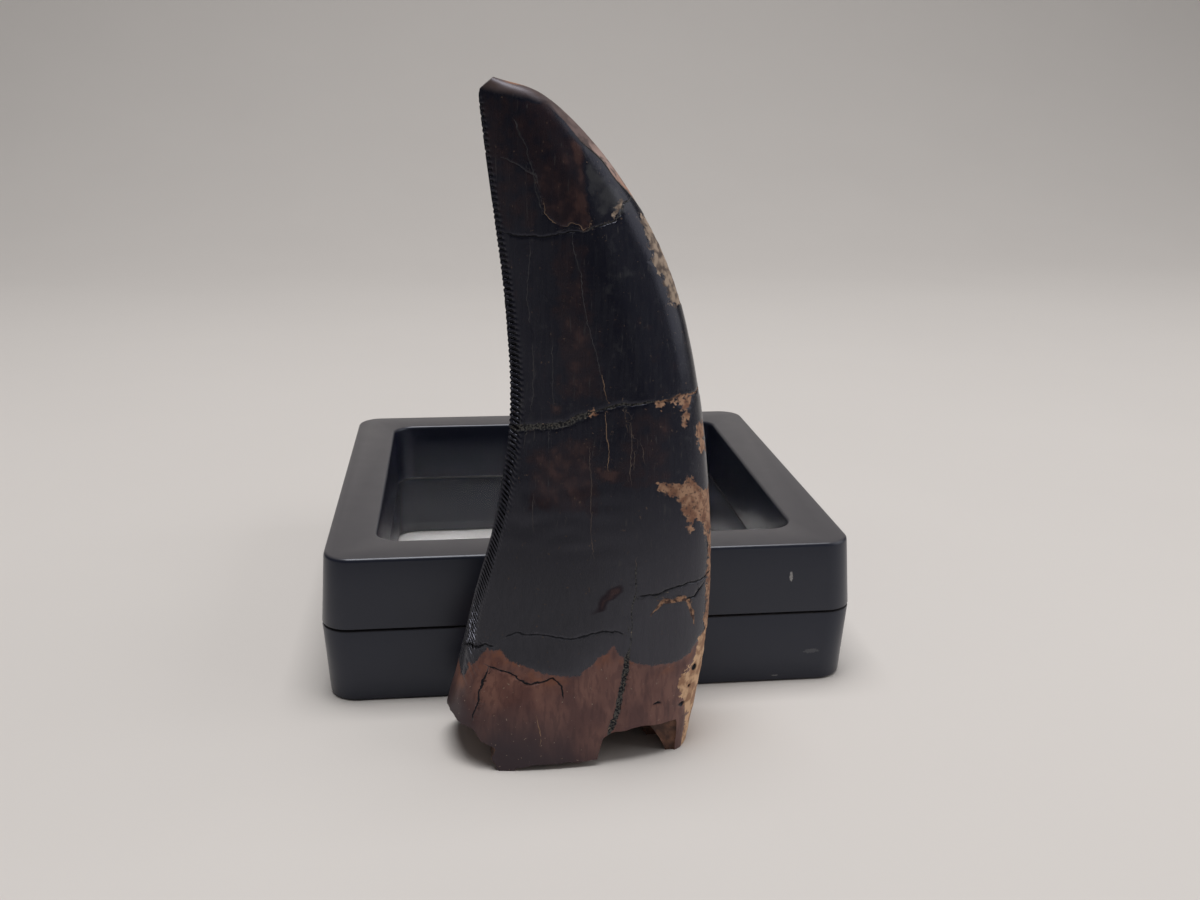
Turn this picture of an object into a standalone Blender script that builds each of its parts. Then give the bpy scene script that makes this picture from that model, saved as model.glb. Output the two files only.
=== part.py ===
"""A fossil dinosaur tooth that leans against its display box.

The tooth is one solid: a curved, flattened cone with a serrated rear edge, broken off at the root, where a notch
in the near wall opens on the pulp hollow. It stands in front of a square display box, which is two black plastic
frames pressed together, with a clear film across each frame's window.

Metres, +Z up. The origin is on the floor at the centre of the footprint. +X points to the tooth's rounded front
edge and -Y to the viewer.
"""
import math

import bmesh
import bpy
from mathutils import Matrix, Vector

MM = 0.001

# Display box
BOX_SIZE = 70.0 * MM            # across the seam, in X and in Y
BOX_DRAFT = 0.6 * MM            # each outer wall leans in by this much from the seam to the rim
LOWER_HEIGHT = 10.2 * MM        # floor to the middle of the seam
UPPER_HEIGHT = 9.5 * MM         # middle of the seam to the upper rim
SEAM_GAP = 0.3 * MM
CORNER_RADIUS = 3.8 * MM
RIM_BEVEL = 0.5 * MM
WINDOW_SIZE = 56.0 * MM
WINDOW_RADIUS = 3.4 * MM
WINDOW_DRAFT = 0.3 * MM         # the well narrows by this much on each side towards the film
WALL = 1.6 * MM                 # moulded plastic wall
FILM_THICKNESS = 0.3 * MM
CLEARANCE = 0.3 * MM            # between pieces that touch
CORNER_SEGMENTS = 6

# Where the tooth stands
TOOTH_REACH = 18.6 * MM         # the foot's foremost point stands this far in front of the box
LEAN = 0.05                     # the tooth leans back by this much for each unit of height
TURN = math.radians(4.5)        # the tooth's rear edge is turned towards the viewer
DEPTH = BOX_SIZE + TOOTH_REACH
FRONT_Y = -DEPTH / 2
BOX_Y = FRONT_Y + TOOTH_REACH + BOX_SIZE / 2

# The tooth's side outline and half thickness, from the root to the tip, in mm. Each station is a section that
# runs from (x, z) on the serrated rear edge to (x, z) on the rounded front edge.
STATIONS = (
    # rear edge      front edge     half thickness
    ((-20.4, 0.0), (10.2, 0.0), 8.5),
    ((-17.9, 8.8), (12.0, 9.4), 8.4),
    ((-15.1, 18.2), (12.7, 20.3), 8.0),
    ((-12.6, 28.6), (12.2, 32.6), 7.3),
    ((-11.0, 40.5), (10.8, 44.0), 6.3),
    ((-11.3, 52.4), (8.1, 55.3), 5.2),
    ((-12.4, 62.7), (4.0, 63.6), 4.1),
    ((-13.3, 70.2), (-1.5, 71.1), 2.9),
    ((-13.8, 75.0), (-6.8, 75.7), 1.7),
    ((-13.5, 76.9), (-11.5, 77.5), 0.6),
)
ROUND_REAR = 0.28               # the root's rear side is blunt
SHARP_REAR = 0.92               # the crown's rear side runs out to an edge
CROWN_START, CROWN_FULL = 0.06, 0.5
ROUND_FRONT_ROOT = 0.24
ROUND_FRONT_TIP = 0.5
SECTIONS = 38
POINTS_AROUND = 32

# Serrations along the rear edge
DENTICLE_START = 13.6 * MM      # height of the lowest one
DENTICLE_END = 75.2 * MM
DENTICLE_PITCH_LOW = 0.48 * MM
DENTICLE_PITCH_HIGH = 0.62 * MM
PITCH_CHANGE_LOW, PITCH_CHANGE_HIGH = 20.0 * MM, 42.0 * MM
DENTICLE_HEIGHT = 0.16 * MM     # how far one stands out of the edge
DENTICLE_REACH = 1.35 * MM      # how far its ridge runs onto the side
RIDGE_RISE = 0.07 * MM
GROOVE_SINK = 0.12 * MM
RIDGE_SLANT_LOW = 0.55          # the low ridges point up towards the edge
RIDGE_SLANT_HIGH = 0.05

# Broken base, in mm: the missing rear corner and the notch in the near wall, as (x, z) outlines
BROKEN_CORNER = ((-24.0, 9.8), (-19.7, 8.4), (-18.7, 7.1), (-17.7, 6.2), (-15.7, 5.0), (-14.8, 3.6),
                 (-13.4, 2.9), (-14.0, 1.9), (-12.7, -0.6), (-12.7, -2.0), (-24.0, -2.0))
BREAK_SLOPE = 0.32              # the missing corner's cut drops by this much for each unit of depth
RAISED_EDGE = ((-11.9, -1.0), (-11.1, 0.3), (-9.2, 0.7), (-0.6, 0.8), (-0.6, -1.0))
RAISED_DEPTH = 5.0 * MM
NOTCH = ((-0.9, -1.0), (-0.9, 1.7), (-0.5, 3.6), (0.5, 4.1), (3.6, 4.3), (8.3, 4.2), (8.0, -1.0))
NOTCH_DEPTH = 7.0 * MM
HOLLOW_CENTRE_X = -1.2 * MM
HOLLOW_LENGTH = 15.6 * MM
HOLLOW_WIDTH = 8.6 * MM
HOLLOW_TOP_SHARE = 0.3          # the hollow narrows to this share of its mouth
HOLLOW_HEIGHT = 13.0 * MM

# Worn facet below the tip, on the near side of the front edge
FACET_POINT = (-2.4, -2.0, 70.8)    # mm, in the tooth's own frame
FACET_NORMAL = (0.655, -0.491, 0.576)
FACET_BLOCK = 24.0 * MM


def clear_scene():
    for obj in list(bpy.data.objects):
        bpy.data.objects.remove(obj, do_unlink=True)


def make_collection(name):
    collection = bpy.data.collections.new(name)
    bpy.context.scene.collection.children.link(collection)
    return collection


def make_material(name, color, roughness, alpha=1.0, transmission=0.0):
    material = bpy.data.materials.new(name)
    material.use_nodes = True
    shader = material.node_tree.nodes["Principled BSDF"]
    shader.inputs["Base Color"].default_value = (*color, 1.0)
    shader.inputs["Roughness"].default_value = roughness
    shader.inputs["Metallic"].default_value = 0.0
    shader.inputs["Alpha"].default_value = alpha
    shader.inputs["Transmission Weight"].default_value = transmission
    return material


def object_from(bm, name, collection, material=None):
    """Turns a bmesh into an object with outward faces."""
    bmesh.ops.recalc_face_normals(bm, faces=bm.faces)
    mesh = bpy.data.meshes.new(name)
    bm.to_mesh(mesh)
    bm.free()
    if material:
        mesh.materials.append(material)
    obj = bpy.data.objects.new(name, mesh)
    collection.objects.link(obj)
    return obj


def as_cutter(obj):
    obj.hide_render = True
    obj.display_type = 'WIRE'
    return obj


def combine(obj, other, operation):
    modifier = obj.modifiers.new(f"{operation.lower()} {other.name}", 'BOOLEAN')
    modifier.operation = operation
    modifier.solver = 'EXACT'
    modifier.object = other


def smooth_between(low, high, value):
    """0 below low, 1 above high, and an even ease between them."""
    share = min(max((value - low) / (high - low), 0.0), 1.0)
    return share * share * (3 - 2 * share)


# Display box

def rounded_block(name, size_low, size_high, z_low, z_high, radius, collection):
    """A square block with rounded upright corners, whose walls may lean."""
    bm = bmesh.new()
    bmesh.ops.create_cube(bm, size=2.0)
    for vert in bm.verts:
        top = vert.co.z > 0
        half = (size_high if top else size_low) / 2
        vert.co = Vector((vert.co.x * half, BOX_Y + vert.co.y * half, z_high if top else z_low))
    middle = (z_low + z_high) / 2
    uprights = [e for e in bm.edges if (e.verts[0].co.z - middle) * (e.verts[1].co.z - middle) < 0]
    bmesh.ops.bevel(bm, geom=uprights, offset=radius, offset_type='OFFSET', segments=CORNER_SEGMENTS,
                    profile=0.5, affect='EDGES')
    return object_from(bm, name, collection)


def frame_half(name, side, height, material, parts, cutters):
    """One moulded frame: side is 1 above the seam and -1 below it.

    An outer wall and a window wall stand on a flat rim, with an open channel between them that faces the seam.
    """
    def block(part, seam_size, rim_size, seam_offset, rim_offset, radius, collection):
        """A rounded block given by its distances from the middle of the seam."""
        z_seam = LOWER_HEIGHT + side * seam_offset
        z_rim = LOWER_HEIGHT + side * rim_offset
        if side > 0:
            return rounded_block(part, seam_size, rim_size, z_seam, z_rim, radius, collection)
        return rounded_block(part, rim_size, seam_size, z_rim, z_seam, radius, collection)

    beyond = 1.0 * MM
    rim_size = BOX_SIZE - 2 * BOX_DRAFT
    inner_size = BOX_SIZE - 2 * WALL
    window_wall = WINDOW_SIZE + 2 * WALL
    well_end = SEAM_GAP / 2 + FILM_THICKNESS + 2 * CLEARANCE
    frame = block(name, BOX_SIZE, rim_size, SEAM_GAP / 2, height, CORNER_RADIUS, parts)
    channel = block(f"{name} channel", inner_size, inner_size - 2 * BOX_DRAFT, -beyond, height - WALL,
                    CORNER_RADIUS - WALL, cutters)
    core = block(f"{name} window wall", window_wall, window_wall, well_end, height + beyond,
                 WINDOW_RADIUS + WALL, cutters)
    window = block(f"{name} window", WINDOW_SIZE - 2 * WINDOW_DRAFT, WINDOW_SIZE, -beyond, height + beyond,
                   WINDOW_RADIUS, cutters)
    combine(channel, core, 'DIFFERENCE')
    combine(frame, channel, 'DIFFERENCE')
    combine(frame, window, 'DIFFERENCE')
    for cutter in (channel, core, window):
        as_cutter(cutter)
    soften_rim(frame, LOWER_HEIGHT + side * height)
    frame.data.materials.append(material)
    return frame


def soften_rim(frame, rim_z):
    """Applies the frame's cuts and rounds the outer and the window edge of its rim."""
    graph = bpy.context.evaluated_depsgraph_get()
    cut = bpy.data.meshes.new_from_object(frame.evaluated_get(graph))
    frame.modifiers.clear()
    bm = bmesh.new()
    bm.from_mesh(cut)
    bpy.data.meshes.remove(cut)
    bmesh.ops.dissolve_limit(bm, angle_limit=math.radians(0.5), verts=bm.verts, edges=bm.edges)
    rim = [e for e in bm.edges if all(abs(v.co.z - rim_z) < 0.01 * MM for v in e.verts)
           and e.calc_face_angle(0.0) > math.radians(30)]
    bmesh.ops.bevel(bm, geom=rim, offset=RIM_BEVEL, offset_type='OFFSET', segments=2, profile=0.5,
                    affect='EDGES')
    bmesh.ops.triangulate(bm, faces=bm.faces)
    bm.to_mesh(frame.data)
    bm.free()
    frame.data.shade_smooth()
    frame.data.set_sharp_from_angle(angle=math.radians(35))


def film(name, side, material, parts):
    """The clear film behind a window, held between the window wall and the seam."""
    near = SEAM_GAP / 2 + CLEARANCE
    far = near + FILM_THICKNESS
    z_low, z_high = sorted((LOWER_HEIGHT + side * near, LOWER_HEIGHT + side * far))
    size = WINDOW_SIZE + 2 * WALL
    sheet = rounded_block(name, size, size, z_low, z_high, WINDOW_RADIUS + WALL, parts)
    sheet.data.materials.append(material)
    return sheet


# Tooth

def curve_through(values, position):
    """A smooth curve through evenly numbered values (Catmull-Rom), position from 0 to 1."""
    last = len(values) - 1
    scaled = min(max(position, 0.0), 1.0) * last
    i = min(int(scaled), last - 1)
    u = scaled - i
    before = values[i - 1] if i > 0 else values[i] * 2 - values[i + 1]
    after = values[i + 2] if i + 2 <= last else values[i + 1] * 2 - values[i]
    a, b = values[i], values[i + 1]
    return (a * 2 + (b - before) * u + (before * 2 - a * 5 + b * 4 - after) * u * u
            + (a * 3 - before - b * 3 + after) * u ** 3) * 0.5


REAR_EDGE = [Vector((rear[0], 0, rear[1])) * MM for rear, front, half in STATIONS]
FRONT_EDGE = [Vector((front[0], 0, front[1])) * MM for rear, front, half in STATIONS]
HALF_THICKNESS = [half * MM for rear, front, half in STATIONS]


def stand(point):
    """Takes a point of the tooth's own frame, whose middle plane is y = 0, to its place against the box."""
    turned = Vector((point.x, point.y, 0))
    turned.rotate(Matrix.Rotation(TURN, 3, 'Z'))
    return Vector((turned.x, TOOTH_Y + turned.y + LEAN * point.z, point.z))


def side_profile(position, share):
    """Half thickness of the section at position, at share 0 (rear edge) to 1 (front edge)."""
    crown = smooth_between(CROWN_START, CROWN_FULL, position)
    rear = ROUND_REAR + (SHARP_REAR - ROUND_REAR) * crown
    front = ROUND_FRONT_ROOT + (ROUND_FRONT_TIP - ROUND_FRONT_ROOT) * position
    fullest = rear / (rear + front)
    peak = fullest ** rear * (1 - fullest) ** front
    profile = max(share, 0.0) ** rear * max(1 - share, 0.0) ** front / peak
    return curve_through(HALF_THICKNESS, position) * profile


def surface_point(position, share, side):
    """A point of the tooth's surface: side is -1 on the near face and 1 on the far one."""
    rear, front = curve_through(REAR_EDGE, position), curve_through(FRONT_EDGE, position)
    point = rear.lerp(front, share)
    point.y = side * side_profile(position, share)
    return point


def section(position):
    """The points of one section, closer together at both edges."""
    points = []
    for k in range(POINTS_AROUND):
        turn = 2 * math.pi * k / POINTS_AROUND
        share = (1 - math.cos(turn)) / 2
        points.append(surface_point(position, share, -1 if turn < math.pi else 1))
    return points


def foremost(rings):
    """How far the rings reach towards the viewer from the tooth's axis, once turned."""
    return min(math.sin(TURN) * point.x + math.cos(TURN) * point.y + LEAN * point.z
               for ring in rings for point in ring)


TOOTH_RINGS = [section(i / (SECTIONS - 1)) for i in range(SECTIONS)]
TOOTH_Y = FRONT_Y - foremost(TOOTH_RINGS)


def loft(rings, name, collection, material=None):
    """A closed skin over rings that have the same number of points, given in the tooth's own frame."""
    bm = bmesh.new()
    rows = [[bm.verts.new(stand(point)) for point in ring] for ring in rings]
    count = len(rows[0])
    for low, high in zip(rows, rows[1:]):
        for k in range(count):
            j = (k + 1) % count
            bm.faces.new((low[k], low[j], high[j], high[k]))
    bm.faces.new(list(reversed(rows[0])))
    bm.faces.new(rows[-1])
    return object_from(bm, name, collection, material)


def edge_steps():
    """Positions along the rear edge, half a denticle apart, from the lowest one to the tip."""
    samples = 2000
    steps = []
    travelled, due = 0.0, 0.0
    previous = curve_through(REAR_EDGE, 0)
    for i in range(1, samples + 1):
        position = i / samples
        here = curve_through(REAR_EDGE, position)
        if here.z > DENTICLE_END:
            break
        if here.z > DENTICLE_START:
            travelled += (here - previous).length
            if travelled >= due:
                steps.append(position)
                growth = smooth_between(PITCH_CHANGE_LOW, PITCH_CHANGE_HIGH, here.z)
                due += (DENTICLE_PITCH_LOW + (DENTICLE_PITCH_HIGH - DENTICLE_PITCH_LOW) * growth) / 2
        previous = here
    return steps


def denticle_comb(cutters):
    """One strip along the rear edge that swells into a ridge at every denticle and sinks between them."""
    rings = []
    for number, position in enumerate(edge_steps()):
        here = curve_through(REAR_EDGE, position)
        upward = (curve_through(REAR_EDGE, position + 0.002) - here).normalized()
        outward = Vector((-upward.z, 0, upward.x))
        crest = number % 2 == 0
        high = smooth_between(PITCH_CHANGE_LOW, PITCH_CHANGE_HIGH, here.z)
        slant = RIDGE_SLANT_LOW + (RIDGE_SLANT_HIGH - RIDGE_SLANT_LOW) * high
        width = (curve_through(FRONT_EDGE, position) - here).length
        flank = side_profile(position, DENTICLE_REACH / width) + (RIDGE_RISE if crest else -GROOVE_SINK)
        tip = here + outward * (DENTICLE_HEIGHT if crest else -GROOVE_SINK)
        foot = here - outward * DENTICLE_REACH - upward * slant * DENTICLE_REACH
        deep = here - outward * 1.7 * DENTICLE_REACH - upward * slant * 1.7 * DENTICLE_REACH
        across = Vector((0, flank, 0))
        rings.append([tip, foot + across, deep, foot - across])
    return as_cutter(loft(rings, "denticle comb", cutters))


def extruded_outline(name, outline, depth, slope, cutters):
    """A prism over an (x, z) outline in mm, from in front of the foot to depth behind its foremost point.

    Slope is how much it drops for each unit of depth.
    """
    bm = bmesh.new()
    before = 2.0 * MM
    face = bm.faces.new([bm.verts.new((x * MM, FRONT_Y - before, z * MM + slope * before)) for x, z in outline])
    swept = bmesh.ops.extrude_face_region(bm, geom=[face])
    moved = [item for item in swept["geom"] if isinstance(item, bmesh.types.BMVert)]
    bmesh.ops.translate(bm, verts=moved, vec=(0, before + depth, -slope * (before + depth)))
    return as_cutter(object_from(bm, name, cutters))


def pulp_hollow(cutters):
    """A cone with an oval mouth, open at the base."""
    bm = bmesh.new()
    below = 1.0 * MM
    bmesh.ops.create_cone(bm, cap_ends=True, segments=24, radius1=0.5, radius2=0.5 * HOLLOW_TOP_SHARE,
                          depth=HOLLOW_HEIGHT + below)
    for vert in bm.verts:
        vert.co = stand(Vector((HOLLOW_CENTRE_X + vert.co.x * HOLLOW_LENGTH, vert.co.y * HOLLOW_WIDTH,
                                vert.co.z + (HOLLOW_HEIGHT - below) / 2)))
    return as_cutter(object_from(bm, "pulp hollow", cutters))


def worn_facet(cutters):
    """A block whose one face is the worn plane below the tip."""
    bm = bmesh.new()
    bmesh.ops.create_cube(bm, size=FACET_BLOCK)
    obj = as_cutter(object_from(bm, "worn facet", cutters))
    normal = Vector(FACET_NORMAL).normalized()
    obj.rotation_mode = 'QUATERNION'
    obj.rotation_quaternion = normal.to_track_quat('Z', 'Y')
    obj.location = stand(Vector(FACET_POINT) * MM) + normal * FACET_BLOCK / 2
    return obj


def tooth(material, parts, cutters):
    body = loft(TOOTH_RINGS, "tooth", parts, material)
    combine(body, denticle_comb(cutters), 'UNION')
    combine(body, pulp_hollow(cutters), 'DIFFERENCE')
    combine(body, extruded_outline("broken corner", BROKEN_CORNER, TOOTH_REACH, BREAK_SLOPE, cutters),
            'DIFFERENCE')
    combine(body, extruded_outline("raised edge", RAISED_EDGE, RAISED_DEPTH, 0.0, cutters), 'DIFFERENCE')
    combine(body, extruded_outline("notch", NOTCH, NOTCH_DEPTH, 0.0, cutters), 'DIFFERENCE')
    combine(body, worn_facet(cutters), 'DIFFERENCE')
    body.data.shade_smooth()
    body.data.set_sharp_from_angle(angle=math.radians(35))
    return body


def main():
    clear_scene()
    parts = make_collection("fossil_dinosaur_tooth")
    cutters = make_collection("cutters")
    enamel = make_material("dark enamel", (0.022, 0.020, 0.021), 0.42)
    black_plastic = make_material("black plastic", (0.026, 0.026, 0.029), 0.55)
    clear_film = make_material("clear film", (0.95, 0.96, 0.96), 0.08, alpha=0.35, transmission=1.0)
    tooth(enamel, parts, cutters)
    frame_half("frame_lower", -1, LOWER_HEIGHT, black_plastic, parts, cutters)
    frame_half("frame_upper", 1, UPPER_HEIGHT, black_plastic.copy(), parts, cutters)
    film("film_lower", -1, clear_film, parts)
    film("film_upper", 1, clear_film.copy(), parts)


main()
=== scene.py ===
"""Fossil dinosaur tooth, tilted back in front of its display box.

Metres, +Z up, the floor at z = 0. +X is the tooth's rounded front edge and -Y the viewer's side.
"""

import math

import bpy
import numpy as np
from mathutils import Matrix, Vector, noise


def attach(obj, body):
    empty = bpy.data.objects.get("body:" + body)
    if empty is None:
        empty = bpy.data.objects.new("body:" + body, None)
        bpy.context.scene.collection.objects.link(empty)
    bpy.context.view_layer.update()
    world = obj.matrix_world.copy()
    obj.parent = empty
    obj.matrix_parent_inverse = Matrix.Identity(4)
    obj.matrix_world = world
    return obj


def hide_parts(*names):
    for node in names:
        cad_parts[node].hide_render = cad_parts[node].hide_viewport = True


MM = 0.001

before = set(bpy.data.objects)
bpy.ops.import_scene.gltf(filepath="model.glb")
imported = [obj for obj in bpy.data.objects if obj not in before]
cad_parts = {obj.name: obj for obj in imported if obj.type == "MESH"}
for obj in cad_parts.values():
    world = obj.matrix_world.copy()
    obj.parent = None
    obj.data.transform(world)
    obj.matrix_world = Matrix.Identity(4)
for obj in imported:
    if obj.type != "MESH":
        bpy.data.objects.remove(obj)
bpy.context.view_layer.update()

# Display box
BOX_SIZE = 70.0 * MM
BOX_DRAFT = 0.6 * MM
BOX_Y = 9.3 * MM
SEAM_Z = 10.2 * MM
LOWER_HEIGHT = 10.2 * MM
UPPER_HEIGHT = 9.5 * MM
SEAM_GAP = 0.3 * MM
CORNER_RADIUS = 3.8 * MM
WINDOW_SIZE = 56.0 * MM
WINDOW_RADIUS = 3.4 * MM
WINDOW_DRAFT = 0.3 * MM
WALL = 1.6 * MM
RIM_ROUNDING = 0.5 * MM
SEAM_ROUNDING = 0.12 * MM
FILM_SIZE = 55.3 * MM
FILM_OFFSET = 0.42 * MM         # from the middle of the seam to the film
FILM_THICKNESS = 0.06 * MM

# Where the tooth stands: it tilts back by LEAN for each unit of height
FRONT_Y = -44.3 * MM
TOOTH_REACH = 18.6 * MM
LEAN = 0.05
TURN = math.radians(4.5)

# The tooth's sections from the root to the tip, in mm: rear edge (x, z), front edge (x, z), half thickness
STATIONS = np.array((
    (-20.4, 0.0, 10.2, 0.0, 8.5),
    (-17.9, 8.8, 12.0, 9.4, 8.4),
    (-15.8, 18.0, 12.7, 20.3, 8.0),
    (-12.8, 28.6, 12.2, 32.6, 7.3),
    (-11.0, 40.5, 10.8, 44.0, 6.3),
    (-11.3, 52.4, 8.1, 55.3, 5.2),
    (-12.4, 62.7, 4.0, 63.6, 4.1),
    (-13.3, 70.2, -1.5, 71.1, 2.9),
    (-13.8, 75.0, -6.8, 75.7, 1.7),
    (-13.7, 76.3, -12.3, 77.5, 0.6),
))

# Lines and outlines on the tooth's faces, as (x, z) in mm in its own frame
ENAMEL_END_NEAR = ((-20.0, 9.6), (-17.3, 10.2), (-16.6, 11.6), (-15.4, 12.6), (-14.4, 13.8), (-13.2, 13.7),
                   (-11.9, 12.8), (-10.8, 12.6), (-8.9, 11.8), (-6.6, 11.5), (-4.4, 11.5), (-2.5, 13.1),
                   (-0.3, 14.7), (0.9, 13.1), (2.8, 12.4), (5.7, 11.7), (8.3, 12.1), (10.0, 13.7),
                   (11.8, 14.5), (13.0, 14.9))
ENAMEL_END_FAR = ((-20.0, 9.6), (-17.3, 10.2), (-13.5, 12.6), (-8.0, 11.9), (-3.0, 13.6), (2.0, 12.2),
                  (7.0, 13.1), (11.8, 14.5), (13.0, 14.9))

# The inner line of the band that wear has left along the front edge, near the tip; across the tip itself it
# also bounds a soft painted highlight
WORN_LINE = ((-13.2, 76.4), (-10.4, 75.9), (-8.5, 75.6), (-6.8, 75.1), (-5.2, 73.4), (-3.1, 70.9),
             (-0.7, 68.9), (0.8, 66.8), (2.5, 65.2), (4.4, 63.2))

# Cracks: half width, depth, filling (0 open and painted near black as the shade inside, 0.5 grey rubble, 1
# pale), then the points
CRACKS_NEAR = (
    (0.08, 0.14, 0.1, ((-11.6, 61.1), (-9.7, 60.8), (-7.2, 60.8), (-5.8, 61.1), (-4.5, 61.4), (-3.2, 61.4))),
    (0.07, 0.12, 0.4, ((-3.2, 61.4), (-1.3, 62.1), (0.5, 62.7), (0.9, 63.2), (1.5, 64.4), (2.8, 64.9))),
    (0.36, 0.16, 0.5, ((-11.4, 38.9), (-9.8, 39.1), (-8.0, 39.4), (-6.2, 39.8), (-4.9, 40.2), (-3.6, 40.9),
                       (-2.0, 41.7))),
    (0.13, 0.16, 0.45, ((-2.3, 41.6), (-0.9, 42.0), (0.7, 42.4), (2.9, 42.7), (4.6, 42.8))),
    (0.11, 0.14, 0.85, ((4.6, 42.8), (6.1, 43.0), (7.6, 43.4), (9.8, 43.4), (11.5, 43.9))),
    (0.09, 0.16, 0.2, ((2.3, 20.7), (4.5, 20.7), (6.6, 21.2), (8.4, 21.5), (9.9, 21.6), (12.5, 21.9))),
    (0.13, 0.18, 0.0, ((7.2, 20.1), (8.5, 19.8), (9.6, 19.8), (10.4, 20.6), (11.1, 21.3))),
    (0.22, 0.08, 1.0, ((4.3, 18.4), (5.2, 19.7), (5.5, 19.9), (6.8, 19.6), (8.2, 19.9), (8.7, 19.3),
                       (9.2, 17.9), (9.5, 16.4))),
    (0.09, 0.09, 0.0, ((-12.7, 15.1), (-12.0, 15.5), (-11.1, 16.0), (-9.6, 15.9), (-8.0, 15.9), (-4.8, 15.8),
                       (-3.1, 16.2), (-1.5, 16.6), (0.2, 16.4), (1.3, 16.0))),
    (0.13, 0.26, 0.0, ((-17.6, 12.6), (-16.4, 13.4), (-15.4, 13.7), (-14.7, 14.1), (-13.6, 14.2))),
    (0.06, 0.08, 0.5, ((2.4, 25.0), (2.4, 23.8), (2.3, 21.4), (1.9, 19.1), (1.8, 15.9), (1.5, 14.0))),
    (0.38, 0.34, 0.5, ((1.5, 14.3), (1.2, 12.1), (0.9, 10.4), (0.5, 8.5), (0.2, 6.8), (-0.3, 5.2),
                       (-0.8, 3.6))),
    (0.08, 0.14, 0.1, ((-14.6, 11.9), (-15.0, 10.6), (-15.7, 8.6), (-16.2, 7.1), (-16.8, 5.6))),
    (0.09, 0.14, 0.1, ((-15.0, 11.9), (-13.3, 11.8), (-11.7, 11.4), (-10.6, 10.6), (-9.7, 10.5), (-8.3, 10.8),
                       (-7.4, 11.3), (-6.4, 10.2), (-6.1, 8.4))),
)
HAIRLINES_NEAR = (
    (0.035, 0.03, 0.25, ((-8.6, 60.2), (-9.1, 54.5), (-8.5, 50.5), (-8.4, 46.0), (-8.7, 41.1))),
    (0.03, 0.03, 0.35, ((-6.4, 49.5), (-6.5, 44.6), (-6.4, 41.5))),
    (0.035, 0.03, 0.25, ((-4.3, 61.2), (-3.4, 56.0), (-2.8, 51.6), (-1.9, 49.1), (-1.4, 45.5))),
    (0.04, 0.04, 0.9, ((-1.4, 46.0), (-1.1, 45.0), (-0.8, 43.1))),
    (0.04, 0.04, 0.9, ((-0.8, 41.4), (-0.7, 39.7), (-0.6, 37.8), (-0.7, 35.2))),
    (0.03, 0.04, 0.6, ((1.2, 41.8), (1.6, 39.5))),
    (0.035, 0.04, 0.5, ((2.0, 41.4), (2.0, 37.8), (1.8, 35.3), (1.9, 33.4))),
    (0.03, 0.04, 0.5, ((3.0, 38.6), (3.3, 37.4), (3.1, 36.6), (3.4, 35.8))),
    (0.03, 0.03, 0.35, ((-9.4, 40.3), (-9.5, 36.6))),
    (0.03, 0.03, 0.3, ((-6.9, 39.5), (-7.0, 37.0))),
    (0.03, 0.03, 0.5, ((-2.5, 37.4), (-2.4, 32.9), (-2.6, 29.0), (-2.4, 25.0))),
    (0.03, 0.03, 0.4, ((-8.6, 31.6), (-8.9, 29.4), (-8.8, 27.2))),
    (0.05, 0.04, 0.2, ((-10.3, 73.3), (-9.0, 70.0), (-8.3, 67.0), (-7.5, 63.4))),
    (0.04, 0.04, 0.2, ((-11.7, 69.1), (-10.2, 68.6), (-9.5, 68.0), (-8.1, 67.3), (-7.6, 66.0))),
    (0.04, 0.05, 0.7, ((-7.2, 64.6), (-7.2, 63.4), (-6.6, 62.7), (-5.7, 62.2), (-5.0, 62.0), (-4.4, 62.5),
                       (-3.7, 62.2), (-3.2, 61.6), (-2.5, 61.9), (-2.5, 63.2))),
    (0.05, 0.05, 1.0, ((-9.4, 6.8), (-9.1, 5.5), (-8.8, 4.5), (-8.8, 3.3))),
)
CRACKS_FAR = (
    (0.08, 0.14, 0.1, ((-11.6, 61.1), (-8.4, 61.9), (-5.0, 61.2), (-1.5, 62.8), (2.8, 64.9))),
    (0.22, 0.14, 0.5, ((-11.4, 38.9), (-7.6, 40.4), (-3.4, 40.2), (1.0, 41.8), (5.4, 42.3), (11.5, 43.9))),
    (0.09, 0.14, 0.1, ((-3.2, 18.9), (1.7, 20.3), (6.2, 20.2), (12.5, 21.9))),
    (0.08, 0.12, 0.1, ((-16.2, 14.9), (-11.6, 16.8), (-7.0, 16.0), (-3.2, 18.9))),
    (0.05, 0.08, 0.6, ((-1.8, 40.4), (-2.6, 31.5), (-1.2, 22.6), (-0.4, 12.8))),
    (0.22, 0.28, 0.5, ((-0.4, 12.8), (-1.4, 8.2), (-0.8, 2.0), (-0.9, 0.0))),
)
HAIRLINES_FAR = (
    (0.04, 0.03, 0.5, ((-7.4, 60.6), (-7.9, 50.0), (-7.2, 41.4))),
    (0.04, 0.03, 0.8, ((-2.9, 61.0), (-2.1, 52.2), (-2.6, 43.0))),
    (0.04, 0.03, 0.7, ((4.4, 39.0), (4.9, 31.0), (4.3, 25.2))),
    (0.04, 0.03, 0.4, ((-9.8, 37.0), (-10.6, 27.4))),
)

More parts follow.
